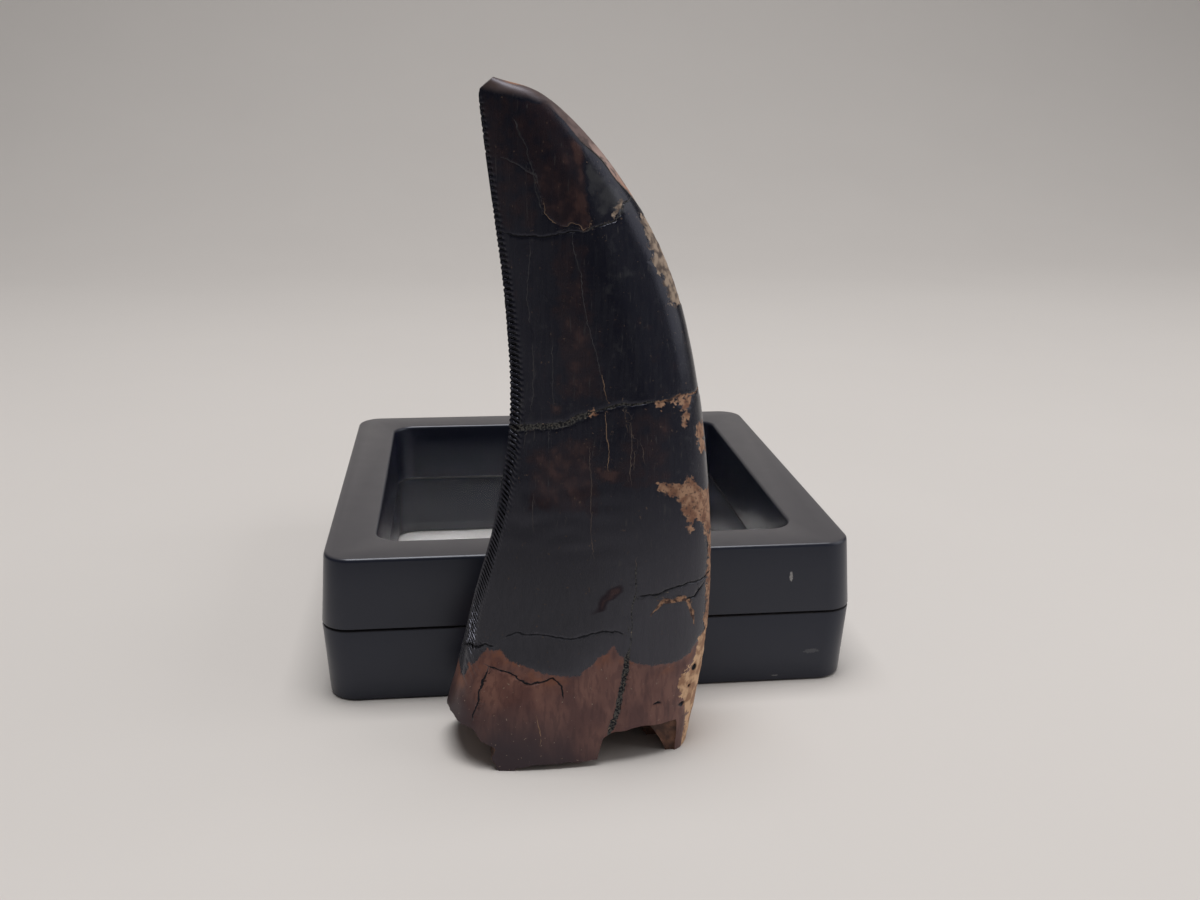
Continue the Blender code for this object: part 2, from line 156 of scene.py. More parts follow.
# Where the dark enamel is gone and pale mineral shows
BARE_NEAR = (
    ((3.5, 63.0), (3.75, 62.1), (4.0, 61.5), (4.1, 60.7), (4.6, 59.4), (4.8, 58.7), (4.1, 58.1), (4.8, 57.6),
     (5.2, 57.1), (5.9, 56.5), (6.1, 55.6), (6.5, 55.1), (6.5, 53.5), (8.6, 53.0), (9.6, 53.0), (9.0, 56.0),
     (7.0, 60.5), (5.5, 63.0)),
    ((0.7, 64.2), (1.3, 64.6), (1.2, 63.9), (0.5, 63.1), (0.0, 63.1)),
    ((6.5, 43.0), (7.5, 43.3), (8.9, 43.1), (8.9, 41.9), (8.1, 41.8), (7.1, 42.5)),
    ((4.6, 42.9), (5.6, 42.9), (5.4, 42.3), (5.0, 42.0), (4.8, 42.5)),
    ((8.1, 41.3), (8.7, 41.2), (8.5, 40.5), (8.3, 39.8), (7.7, 39.9), (7.8, 40.7)),
    ((9.8, 39.6), (10.4, 40.1), (11.0, 39.3), (11.2, 36.3), (10.5, 36.3), (9.9, 37.9)),
    ((-2.6, 41.7), (-2.0, 41.9), (-1.9, 41.2), (-2.5, 41.1)),
    ((5.0, 33.7), (5.6, 33.6), (6.3, 33.1), (7.2, 33.3), (7.9, 33.1), (8.6, 34.4), (9.2, 34.0), (9.3, 32.9),
     (10.2, 32.4), (11.1, 31.9), (12.6, 32.2), (12.8, 27.0), (10.8, 26.9), (10.1, 29.0), (9.4, 28.8),
     (9.0, 27.5), (8.4, 28.0), (8.6, 29.2), (7.8, 30.0), (7.8, 31.1), (7.0, 31.9), (6.1, 32.1), (5.1, 32.9)),
    ((11.2, 26.9), (13.0, 27.0), (13.3, 12.4), (11.8, 12.4), (11.2, 13.6), (11.3, 18.5), (11.4, 23.4)),
    ((10.5, 14.6), (12.8, 14.6), (12.6, 2.0), (10.6, -1.0), (8.6, -1.0), (8.9, 1.7), (9.3, 4.1), (8.5, 6.5),
     (7.9, 8.0), (8.1, 10.2), (9.1, 10.0), (10.0, 11.9)),
)
BARE_FAR = (
    ((4.2, 62.0), (5.4, 57.2), (6.6, 54.4), (9.6, 53.0), (9.0, 56.0), (7.5, 60.0), (5.5, 63.2)),
    ((9.2, 34.6), (10.8, 36.4), (12.6, 35.0), (13.2, 17.4), (11.9, 16.2), (11.4, 22.0), (11.0, 28.0)),
    ((11.9, 18.0), (13.2, 18.0), (12.8, 14.6), (12.6, 2.0), (10.6, -1.0), (9.8, -1.0), (10.3, 3.6),
     (11.2, 7.0), (10.6, 10.4), (11.4, 13.0)),
    ((10.2, 40.2), (11.4, 39.8), (11.4, 36.2), (10.7, 37.4)),
    ((-4.0, 24.6), (-2.8, 26.0), (-1.2, 25.2), (-1.8, 23.4), (-3.4, 23.2)),
)

# Stained enamel and one painted highlight: -1 slate (a painted sheen of the overhead light), 1 maroon, 2
# rust, how softly it ends in mm, then its outline
STAINS_AND_SHEEN_NEAR = (
    (0.8, 1.0, ((-13.5, 75.5), (-10.4, 75.1), (-10.5, 73.1), (-9.5, 70.0), (-8.1, 67.1), (-7.6, 62.0),
                (-11.6, 61.6), (-13.0, 68.0))),
    (1.15, 0.4, ((-10.4, 75.1), (-6.9, 75.0), (-4.8, 72.6), (-3.0, 70.2), (-2.8, 66.9), (-2.5, 63.2),
                (-2.5, 61.9), (-3.2, 61.4), (-4.4, 62.5), (-5.0, 62.0), (-5.7, 62.2), (-6.6, 62.7),
                (-7.2, 63.4), (-7.6, 64.8), (-8.1, 67.1), (-9.5, 70.0), (-10.5, 73.1))),
    (1.7, 0.5, ((-4.6, 72.2), (-3.0, 70.2), (-2.8, 66.9), (-2.5, 63.2), (-2.7, 62.0), (-3.4, 62.4),
                (-3.7, 65.0), (-3.8, 68.5))),
    # Painted highlight: this slate patch stands in for the overhead light's sheen on the glossy enamel, not a
    # stain
    (-1.0, 1.0, ((-2.7, 70.3), (-1.0, 68.3), (0.6, 65.9), (2.2, 63.8), (0.8, 63.4), (-1.2, 63.0),
                 (-2.3, 64.5), (-2.6, 67.5))),
    (0.7, 1.6, ((-6.2, 60.5), (-2.4, 60.6), (-1.4, 50.8), (-1.1, 43.0), (-6.2, 42.8), (-6.4, 50.6))),
    (1.3, 1.0, ((-4.6, 52.0), (-2.6, 50.0), (-1.8, 43.4), (-4.8, 43.2))),
    (2.4, 0.7, ((-6.4, 35.7), (-5.2, 36.6), (-3.6, 36.8), (-3.0, 35.5), (-3.4, 33.8), (-4.6, 33.3),
                (-5.8, 33.7))),
    (2.2, 0.5, ((-5.0, 38.3), (-3.9, 38.4), (-3.9, 37.2), (-4.9, 37.2))),
    (2.0, 0.6, ((-1.7, 35.3), (0.9, 35.0), (1.0, 33.7), (-1.5, 34.0))),
    (1.7, 0.6, ((-6.8, 42.0), (-5.4, 42.1), (-5.4, 41.1), (-6.6, 41.0))),
    (1.7, 0.5, ((-2.6, 18.6), (-1.6, 20.1), (-0.6, 21.6), (0.8, 22.1), (0.9, 21.3), (-0.5, 20.2),
                (-1.7, 18.8))),
    (1.0, 2.0, ((0.5, 41.5), (6.5, 41.5), (6.5, 33.0), (0.5, 33.0))),
    (1.3, 2.0, ((-9.0, 37.0), (-2.0, 38.5), (-2.0, 30.0), (-9.0, 30.0))),
)
STAINS_FAR = (
    (1.2, 1.2, ((-10.4, 75.1), (-4.8, 72.6), (-2.5, 63.2), (-8.6, 62.8))),
    (1.0, 1.8, ((-6.2, 59.0), (-2.4, 58.6), (-1.8, 44.0), (-6.2, 44.8))),
    (1.8, 0.8, ((1.2, 34.0), (3.8, 35.0), (4.4, 31.6), (2.0, 30.8))),
)

# Small round pits in the root: x, z and radius in mm
PITS = ((10.3, 10.1, 0.42), (8.5, 5.9, 0.34), (9.6, 7.9, 0.2), (5.2, 7.0, 0.18))

# Scuffs on the front of the box: x, z, half width, half height in mm, and how strong
SCUFFS = ((26.1, 15.3, 0.3, 0.9, 0.7), (29.4, 4.4, 1.3, 0.45, 0.12), (24.6, 0.9, 0.6, 0.12, 0.4))

# The broken base, as (x, z) in mm
BROKEN_CORNER = ((-24.0, 9.8), (-19.7, 8.4), (-18.7, 7.1), (-17.7, 6.2), (-15.7, 5.0), (-14.8, 3.6),
                 (-13.4, 2.9), (-14.0, 1.9), (-12.7, -0.6), (-12.7, -2.0), (-24.0, -2.0))
BREAK_SLOPE = 0.32
RAISED_EDGE = ((-11.9, -1.0), (-11.1, 0.3), (-9.2, 0.7), (-0.6, 0.8), (-0.6, -1.0))
NOTCH = ((-1.9, -1.0), (-1.7, 0.6), (-1.0, 3.4), (0.4, 4.1), (3.6, 4.3), (4.6, 4.1), (6.4, 1.6), (7.3, -1.0))
NOTCH_LEDGE = ((3.2, 4.3), (8.3, 4.2), (8.0, -1.0), (5.0, -1.0))

# The pulp hollow, in mm
HOLLOW_X, HOLLOW_MIDDLE_Z = -1.2, 6.0
HOLLOW_LENGTH, HOLLOW_WIDTH, HOLLOW_HEIGHT = 15.6, 8.6, 14.0

# Relief of the skin, in mm
SLOT_DEPTH = 0.24
REAR_SCALLOP, FRONT_SCALLOP = 0.15, -0.06
ENAMEL_THICKNESS = 0.16
BARE_LOSS = 0.07
CRACK_STEP = 0.05
PIT_DEPTH = 0.35
WRINKLES = 0.08
SWELLING, RIPPLES = 0.10, 0.02
ROOT_GRAIN, ROOT_WAVES = 0.06, 0.14

# Pitch of the denticles in mm: at the foot of the rear edge, how much more higher up, and on the front edge
REAR_PITCH, REAR_PITCH_GAIN, FRONT_PITCH = 0.48, 0.14, 0.40


# Handling

def take(obj):
    """Selects one object alone and makes it the active one."""
    if bpy.context.object and bpy.context.object.mode != 'OBJECT':
        bpy.ops.object.mode_set(mode='OBJECT')
    bpy.ops.object.select_all(action='DESELECT')
    obj.select_set(True)
    bpy.context.view_layer.objects.active = obj


def named(name):
    """Names the object that was just added, and gives it back."""
    obj = bpy.context.object
    obj.name = name
    obj.data.name = name
    return obj


def select_edges(obj, chosen):
    """Selects the chosen edges, given by a yes or no for each, and goes into edit mode."""
    take(obj)
    mesh = obj.data
    mesh.vertices.foreach_set("select", np.zeros(len(mesh.vertices), bool))
    mesh.polygons.foreach_set("select", np.zeros(len(mesh.polygons), bool))
    mesh.edges.foreach_set("select", np.asarray(chosen, bool))
    bpy.context.tool_settings.mesh_select_mode = (False, True, False)
    bpy.ops.object.mode_set(mode='EDIT')


def give(obj, material):
    """Gives an object one material alone."""
    obj.data.materials.clear()
    obj.data.materials.append(material)


def face_outward():
    """From edit mode, turns all faces outward and goes back to object mode."""
    bpy.ops.mesh.select_all(action='SELECT')
    bpy.ops.mesh.normals_make_consistent(inside=False)
    bpy.ops.object.mode_set(mode='OBJECT')


def points_of(obj):
    co = np.empty(len(obj.data.vertices) * 3, np.float64)
    obj.data.vertices.foreach_get("co", co)
    return co.reshape(-1, 3)


def move_points(obj, points):
    obj.data.vertices.foreach_set("co", points.astype(np.float32).ravel())
    obj.data.update()


def edge_ends(obj):
    ends = np.empty(len(obj.data.edges) * 2, np.int32)
    obj.data.edges.foreach_get("vertices", ends)
    return ends.reshape(-1, 2)


def finish_modifiers(obj):
    take(obj)
    for modifier in list(obj.modifiers):
        bpy.ops.object.modifier_apply(modifier=modifier.name)


def cut(obj, cutter, operation='DIFFERENCE'):
    modifier = obj.modifiers.new(f"cut by {cutter.name}", 'BOOLEAN')
    modifier.operation = operation
    modifier.solver = 'EXACT'
    modifier.material_mode = 'TRANSFER'
    modifier.object = cutter
    finish_modifiers(obj)
    bpy.data.objects.remove(cutter)


def blur_noise(points, size, seed=0.0):
    """Smooth noise from -1 to 1 at points in mm, whose lumps are about size across."""
    scaled = points / size + seed
    return np.array([noise.noise(p) for p in scaled.tolist()])


# The tooth's form

def along(column, position):
    """A smooth curve through one column of the stations (Catmull-Rom), position from 0 to 1."""
    values = STATIONS[:, column]
    padded = np.concatenate(([2 * values[0] - values[1]], values, [2 * values[-1] - values[-2]]))
    scaled = np.clip(position, 0, 1) * (len(values) - 1)
    i = np.minimum(scaled.astype(int), len(values) - 2)
    u = scaled - i
    before, a, b, after = padded[i], padded[i + 1], padded[i + 2], padded[i + 3]
    return 0.5 * (2 * a + (b - before) * u + (2 * before - 5 * a + 4 * b - after) * u ** 2
                  + (3 * a - before - 3 * b + after) * u ** 3)


def ease(low, high, value):
    share = np.clip((value - low) / (high - low), 0, 1)
    return share * share * (3 - 2 * share)


def chord_points(position, share):
    """Side view of the skin, as x and z in mm."""
    return (along(0, position) * (1 - share) + along(2, position) * share,
            along(1, position) * (1 - share) + along(3, position) * share)


def half_depth(position, share):
    """Half the tooth's thickness there, in mm."""
    rear = 0.28 + 0.64 * ease(0.08, 0.32, position)
    front = 0.24 + 0.26 * position
    fullest = rear / (rear + front)
    peak = fullest ** rear * (1 - fullest) ** front
    return along(4, position) * share ** rear * (1 - share) ** front / peak


def worn_places():
    """Position and share of the worn band's inner line."""
    position, share = np.meshgrid(np.linspace(0, 1, 901), np.linspace(0, 1, 401))
    position, share = position.ravel(), share.ravel()
    x, z = chord_points(position, share)
    nearest = [np.argmin(np.hypot(x - point[0], z - point[1])) for point in WORN_LINE]
    order = np.argsort(position[nearest])
    return position[nearest][order], share[nearest][order]


WORN_POSITION, WORN_SHARE = worn_places()


def skin_points(position, share, side):
    """The skin's points in the tooth's own frame, in mm: side is -1 on the near face and 1 on the far one."""
    y = half_depth(position, share)
    start = np.minimum(np.interp(position, WORN_POSITION, WORN_SHARE, left=1, right=1), 0.995)
    flat = half_depth(position, start) * (1 - share) / (1 - start)
    worn = 0.85 * (1 - ease(0.83, 0.90, position)) * ((side < 0) & (share > start))
    x, z = chord_points(position, share)
    return np.stack([x, side * (y + (flat - y) * worn), z], 1)


def foremost():
    """How far the plain skin reaches towards the viewer, once turned and leaning, in mm."""
    position, share = np.meshgrid(np.linspace(0, 0.4, 81), np.linspace(0, 1, 81))
    p = skin_points(position.ravel(), share.ravel(), -1)
    return (math.sin(TURN) * p[:, 0] + math.cos(TURN) * p[:, 1] + LEAN * p[:, 2]).min()


TOOTH_Y = FRONT_Y / MM - foremost()


def stand(own):
    """From the tooth's own frame to the scene, both in mm."""
    x = math.cos(TURN) * own[:, 0] - math.sin(TURN) * own[:, 1]
    y = math.sin(TURN) * own[:, 0] + math.cos(TURN) * own[:, 1] + TOOTH_Y + LEAN * own[:, 2]
    return np.stack([x, y, own[:, 2]], 1)


def unstand(points):
    """From the scene back to the tooth's own frame, both in mm."""
    y = points[:, 1] - TOOTH_Y - LEAN * points[:, 2]
    return np.stack([math.cos(TURN) * points[:, 0] + math.sin(TURN) * y,
                     -math.sin(TURN) * points[:, 0] + math.cos(TURN) * y, points[:, 2]], 1)


# Lines on the surface

def line_distance(x, z, line):
    """Distance to a line of points, and the same with a sign for the side it lies on."""
    best = np.full(len(x), 1e9)
    signed = np.full(len(x), 1e9)
    taper = np.zeros(len(x))
    line = np.array(line)
    lengths = np.hypot(*np.diff(line, axis=0).T)
    before = np.concatenate(([0], np.cumsum(lengths)))
    for a, b, length, start in zip(line, line[1:], lengths, before):
        d = (b - a) / length
        reach = np.clip((x - a[0]) * d[0] + (z - a[1]) * d[1], 0, length)
        off = np.hypot(x - a[0] - d[0] * reach, z - a[1] - d[1] * reach)
        side = (x - a[0]) * d[1] - (z - a[1]) * d[0]
        nearer = off < best
        best = np.where(nearer, off, best)
        signed = np.where(nearer, np.sign(side) * off, signed)
        taper = np.where(nearer, np.minimum(start + reach, before[-1] - start - reach), taper)
    return best, signed, taper


def nearest_crack(x, z, cracks):
    """Distance, signed distance, half width, depth and filling of the nearest crack, lengths in mm."""
    distance = np.full(len(x), 50.0)
    offset, width, depth, filling = distance.copy(), np.full(len(x), 0.05), np.zeros(len(x)), np.zeros(len(x))
    for half, deep, filled, line in cracks:
        near, signed, taper = line_distance(x, z, line)
        thin = 0.35 + 0.65 * ease(0.0, 1.2, taper)
        closer = near - half < distance - width
        offset = np.where(closer, signed, offset)
        width = np.where(closer, half * thin, width)
        depth = np.where(closer, deep * thin, depth)
        filling = np.where(closer, filled, filling)
        distance = np.where(closer, near, distance)
    return distance, offset, width, depth, filling


def inside_by(x, z, outline):
    """How deep a point lies inside a closed outline, negative outside."""
    best, _, _ = line_distance(x, z, outline + outline[:1])
    inside = np.zeros(len(x), bool)
    for (ax, az), (bx, bz) in zip(outline, outline[1:] + outline[:1]):
        crosses = (az > z) != (bz > z)
        slope = (bx - ax) / (bz - az) if bz != az else 0.0
        inside ^= crosses & (x < ax + (z - az) * slope)
    return np.where(inside, best, -best)


def jagged(own, amount):
    """The side view's x and z with the small wander that broken lines have."""
    x = own[:, 0] + amount * (blur_noise(own, 1.7, 3.1) + 0.5 * blur_noise(own, 0.55, 8.7))
    z = own[:, 2] + amount * (blur_noise(own, 1.7, 31.4) + 0.5 * blur_noise(own, 0.55, 17.2))
    return x, z


def crack_fields(own):
    x, z = jagged(own, 0.22)
    x = x + 0.07 * blur_noise(own, 0.28, 14.0)
    z = z + 0.07 * blur_noise(own, 0.28, 41.0)
    near = own[:, 1] < 0
    fields = [np.zeros(len(x)) for _ in range(5)]
    for where, cracks in ((near, CRACKS_NEAR + HAIRLINES_NEAR), (~near, CRACKS_FAR + HAIRLINES_FAR)):
        if where.any():
            for field, part in zip(fields, nearest_crack(x[where], z[where], cracks)):
                field[where] = part
    return fields


def enamel_height(own):
    """Height above the line where the enamel ends, in mm."""
    x, z = jagged(own, 0.4)
    near = np.interp(x, *np.array(ENAMEL_END_NEAR).T)
    far = np.interp(x, *np.array(ENAMEL_END_FAR).T)
    return z - np.where(own[:, 1] < 0, near, far)


def bare_depth(own):
    """How far inside a bare patch a point lies, in mm, negative outside."""
    x, z = jagged(own, 0.22)
    near = own[:, 1] < 0
    deepest = np.full(len(x), -9.0)
    for where, outlines in ((near, BARE_NEAR), (~near, BARE_FAR)):
        for outline in outlines:
            deepest[where] = np.maximum(deepest[where], inside_by(x[where], z[where], outline))
    return deepest


def stain_and_sheen(own):
    """How the enamel is stained, with one painted highlight: -1 slate (a painted sheen), 0 plain black, 1
    maroon, 2 rust.
    """
    x, z = jagged(own, 0.3)
    near = own[:, 1] < 0
    tint = np.zeros(len(x))
    for where, stains in ((near, STAINS_AND_SHEEN_NEAR), (~near, STAINS_FAR)):
        for value, softness, outline in stains:
            share = ease(-0.5 * softness, 0.5 * softness, inside_by(x[where], z[where], outline))
            tint[where] += (value - tint[where]) * share
    return tint


def worn_depth(own):
    """How far beyond the worn band's inner line a point lies, in mm, negative outside the band."""
    x, z = jagged(own, 0.08)
    _, signed, _ = line_distance(x, z, WORN_LINE)
    return np.where(own[:, 1] < 0.05, -signed, -3.0)


def below_middle_crack(own):
    """How far a point lies below the crack across the middle of the tooth, in mm."""
    near = np.array(CRACKS_NEAR[2][3] + CRACKS_NEAR[3][3][1:])
    far = np.array(CRACKS_FAR[1][3])
    x, z = jagged(own, 0.22)
    return np.where(own[:, 1] < 0, np.interp(x, *near.T), np.interp(x, *far.T)) - z


# Serrations

def denticle_count():
    """Heights along the rear edge in mm, and how many denticles lie below each."""
    position = np.linspace(0, 1, 4000)
    x, z = along(0, position), along(1, position)
    pitch = REAR_PITCH + REAR_PITCH_GAIN * ease(20.0, 42.0, z)
    steps = np.hypot(np.diff(x), np.diff(z)) / pitch[1:]
    steps[z[1:] < 13.6] = 0
    return position, np.concatenate(([0], np.cumsum(steps)))


def slot_between(position, table_position, table_count):
    """1 in the gap between two denticles and 0 on their crests."""
    count = np.interp(position, table_position, table_count)
    return ease(0.3, 0.8, np.abs(2 * (count - np.floor(count)) - 1))


def rear_slots(row, share):
    """How deep the slots of the rear edge are, 0 to 1, and the distance from that edge in mm."""
    x, z = along(0, row), along(1, row)
    inward = share * np.hypot(along(2, row) - x, along(3, row) - z)
    reach = np.interp(z, (14, 24, 45, 60, 75), (0.85, 1.15, 1.2, 0.65, 0.3))
    start = 0.14 * (1 - ease(34.0, 44.0, z))
    fade = (1 - ease(0.7, 1.0, inward / reach)) * ease(start - 0.06, start + 0.06, inward + 0.001)
    present = ease(13.4, 14.2, z) * (1 - ease(74.8, 75.6, z)) * (1 - 0.4 * ease(52.0, 66.0, z))
    return slot_between(row, *denticle_count()) * fade * present, inward


def front_slots(position, share):
    """The same for the finer denticles of the front edge."""
    table = np.linspace(0, 1, 4000)
    x, z = along(2, table), along(3, table)
    count = np.concatenate(([0], np.cumsum(np.hypot(np.diff(x), np.diff(z)) / FRONT_PITCH)))
    x, z = along(2, position), along(3, position)
    inward = (1 - share) * np.hypot(x - along(0, position), z - along(1, position))
    present = ease(20.0, 26.0, z) * (1 - ease(55.0, 57.0, z))
    return slot_between(position, table, count) * (1 - ease(0.04, 0.18, inward)) * present, inward


# Building the tooth

ROWS, COLUMNS = 308, 104
FINE_SHARE = 0.19               # of each side's columns, next to the rear edge
CROWN_LENGTH = 82.0             # along the rear edge, in mm
FINER_WITHIN = (0.42, 0.2)      # mm from cracks and outlines on the near side, half that on the far side


def skin_place(flat):
    """From the flat sheet, 0 to 1 each way, to position, share and side.

    Near the rear edge the sheet's rows slant down and inwards, as the slots between the denticles do.
    """
    around, row = flat[:, 0] * 2, flat[:, 1]
    side = np.where(around <= 1, -1.0, 1.0)
    turned = np.where(around <= 1, around, 2 - around)
    share = np.clip((1 - np.cos(math.pi * turned)) / 2, 0, 1)
    x, z = along(0, row), along(1, row)
    inward = share * np.hypot(along(2, row) - x, along(3, row) - z)
    slant = np.interp(z, (14, 20, 32, 45, 75), (1.7, 1.5, 0.9, 0.3, 0.1)) * ease(0.06, 0.15, row)
    drop = slant * np.minimum(inward, 1.5) * (1 - ease(1.5, 9.0, inward))
    return row - drop / CROWN_LENGTH, share, side


def flat_of(obj):
    return np.clip(points_of(obj)[:, :2] + 0.5, 0, 1)


def tooth_sheet():
    """A flat sheet for the tooth's skin, finer where the denticles and the cracks will be."""
    bpy.ops.object.select_all(action='DESELECT')
    bpy.ops.mesh.primitive_grid_add(x_subdivisions=COLUMNS, y_subdivisions=ROWS, size=1)
    sheet = named("tooth_skin")

    flat, ends = flat_of(sheet), edge_ends(sheet)
    upright = np.abs(flat[ends[:, 0], 0] - flat[ends[:, 1], 0]) < 1e-6
    middle = flat[ends].mean(1)
    from_rear = np.minimum(middle[:, 0], 1 - middle[:, 0]) * 2
    at_front = (np.abs(middle[:, 0] - 0.5) < 0.045) & (middle[:, 1] > 0.22) & (middle[:, 1] < 0.62)
    select_edges(sheet, upright & ((from_rear < FINE_SHARE) | at_front))
    bpy.ops.mesh.subdivide(number_cuts=3, ngon=True)

    for reach in FINER_WITHIN:
        bpy.ops.object.mode_set(mode='OBJECT')
        own = skin_points(*skin_place(flat_of(sheet)))
        distance, _, width, _, _ = crack_fields(own)
        band = reach * np.where(own[:, 1] < 0, 1.0, 0.5)
        close = distance - width < band
        close |= (np.abs(bare_depth(own)) < band) | (np.abs(worn_depth(own)) < band)
        for x, z, radius in PITS:
            close |= np.hypot(own[:, 0] - x, own[:, 2] - z) < radius + band
        ends = edge_ends(sheet)
        select_edges(sheet, close[ends].all(1))
        bpy.ops.mesh.subdivide(number_cuts=1, ngon=True)
    bpy.ops.object.mode_set(mode='OBJECT')
    return sheet


def wrap_skin(sheet):
    """Wraps the sheet round the tooth's form and gives the skin its relief."""
    flat = flat_of(sheet)
    position, share, side = skin_place(flat)
    own = skin_points(position, share, side)
    move_points(sheet, stand(own) * MM)
    normals = np.empty(len(own) * 3, np.float32)
    sheet.data.vertices.foreach_get("normal", normals)
    normals = normals.reshape(-1, 3).astype(float)
    outward_sign = np.sign((normals[:, 1] * side).sum())
    normals *= outward_sign

    slots, inward = rear_slots(flat[:, 1], share)
    front, from_front = front_slots(position, share)
    crown = enamel_height(own)
    bare = bare_depth(own)
    distance, _, width, depth, _ = crack_fields(own)

    low = ease(-0.30, 0.20, crown)
    height = -SLOT_DEPTH * slots
    height += ENAMEL_THICKNESS * (low - 1)
    height -= BARE_LOSS * ease(-0.15, 0.2, bare) * (1 - 0.8 * blur_noise(own, 0.7, 6.0))
    groove = np.exp(-(np.maximum(distance - 0.4 * width, 0) / (0.5 * width + 0.035)) ** 2)
    height -= depth * groove * (0.75 + 0.5 * blur_noise(own, 0.35, 12.0))
    below = below_middle_crack(own)
    height += CRACK_STEP * ease(0.0, 0.3, below) * (1 - ease(0.0, 10.0, below))
    pits = np.zeros(len(own))
    for x, z, radius in PITS:
        away = np.hypot(own[:, 0] - x, own[:, 2] - z) / radius
        pits = np.maximum(pits, np.where(own[:, 1] < 0, np.exp(-away ** 4), 0))
    height -= PIT_DEPTH * pits
    # The slots and pits are marked so that the skin can paint them near black, as painted shade in the
    # recesses
    mark(sheet, "gap", np.maximum(np.maximum(slots, front), pits))
    height += SWELLING * blur_noise(own * (1, 1, 0.5), 6.0, 5.0) \
        + RIPPLES * blur_noise(own * (1, 1, 0.6), 1.6, 9.0)
    height += (1 - low) * (ROOT_GRAIN * blur_noise(own, 1.1, 2.0)
                           + ROOT_WAVES * blur_noise(own * (1, 1, 0.4), 3.2, 4.0))
    height += WRINKLES * blur_noise(own * (0.35, 1, 1), 1.6, 21.0) * ease(-6.0, 8.0, -own[:, 0]) \
        * ease(22.0, 27.0, own[:, 2]) * (1 - ease(31.0, 37.0, own[:, 2]))
    height *= ease(0.0, 0.4, inward + 0.08)

    notched = slot_between(flat[:, 1], *denticle_count()) * ease(26.0, 44.0, own[:, 2]) \
        * (1 - ease(74.8, 75.6, own[:, 2])) * (1 - 0.35 * ease(52.0, 66.0, own[:, 2]))
    for column, slot, off, size in ((0, notched, inward, REAR_SCALLOP),
                                    (2, front, from_front, FRONT_SCALLOP)):
        step_x = along(column, position + 1e-3) - along(column, position)
        step_z = along(column + 1, position + 1e-3) - along(column + 1, position)
        length = np.hypot(step_x, step_z) + 1e-9
        inner = np.stack([step_z / length, np.zeros(len(own)), -step_x / length], 1)
        own = own + inner * (size * slot * np.exp(-(off / 0.35) ** 2))[:, None]
    moved = stand(own) + normals * height[:, None]
    move_points(sheet, moved * MM)

    take(sheet)
    bpy.ops.object.mode_set(mode='EDIT')
    bpy.ops.mesh.select_all(action='SELECT')
    bpy.ops.mesh.remove_doubles(threshold=0.002 * MM)
    bpy.ops.mesh.select_all(action='DESELECT')
    bpy.ops.mesh.select_non_manifold(extend=False, use_wire=False, use_multi_face=False,
                                     use_non_contiguous=False, use_verts=False)
    bpy.ops.mesh.fill_holes(sides=0)
    face_outward()
    return sheet


def roughened(obj, grain, lump, depth, material):
    """Gives a cutter an uneven surface, so that what it cuts looks broken."""
    remesh = obj.modifiers.new("even faces", 'REMESH')
    remesh.mode = 'VOXEL'
    remesh.voxel_size = grain * MM
    texture = bpy.data.textures.new(f"{obj.name} lumps", 'CLOUDS')
    texture.noise_scale = lump * MM
    texture.noise_depth = 3
    uneven = obj.modifiers.new("uneven", 'DISPLACE')
    uneven.texture = texture
    uneven.texture_coords = 'GLOBAL'
    uneven.strength = depth * MM
    uneven.mid_level = 0.5
    finish_modifiers(obj)
    give(obj, material)
    return obj


def outline_block(name, outline, depth, slope):
    """A block over an (x, z) outline in mm that runs from in front of the foot into it."""
    before = 2.0
    bpy.ops.object.select_all(action='DESELECT')
    bpy.ops.mesh.primitive_circle_add(vertices=len(outline), radius=1, fill_type='NGON')
    block = named(name)
    front = FRONT_Y / MM - before
    move_points(block, np.array([(x, front, z + slope * before) for x, z in outline]) * MM)
    take(block)
    bpy.ops.object.mode_set(mode='EDIT')
    bpy.ops.mesh.select_all(action='SELECT')
    sweep = before + depth
    bpy.ops.mesh.extrude_region_move(TRANSFORM_OT_translate={"value": (0, sweep * MM, -slope * sweep * MM)})
    face_outward()
    return block


def pulp_hollow():
    bpy.ops.object.select_all(action='DESELECT')
    bpy.ops.mesh.primitive_cone_add(vertices=48, radius1=0.5, radius2=0.15, depth=HOLLOW_HEIGHT)
    hollow = named("pulp hollow")
    p = points_of(hollow)
    own = np.stack([HOLLOW_X + p[:, 0] * HOLLOW_LENGTH, p[:, 1] * HOLLOW_WIDTH, p[:, 2] + HOLLOW_MIDDLE_Z], 1)
    move_points(hollow, stand(own) * MM)
    return hollow


def slab_under():
    """A slab just under the base, whose uneven top eats into the broken root."""
    bpy.ops.object.select_all(action='DESELECT')
    bpy.ops.mesh.primitive_cube_add(size=1)
    slab = named("uneven ground of the break")
    p = points_of(slab)
    move_points(slab, (p * (36, 22, 2.0) + (-3.0, TOOTH_Y, -0.85)) * MM)
    return slab


def mark(obj, name, values):
    attribute = obj.data.attributes.new(name, 'FLOAT', 'POINT')
    attribute.data.foreach_set("value", values.astype(np.float32))


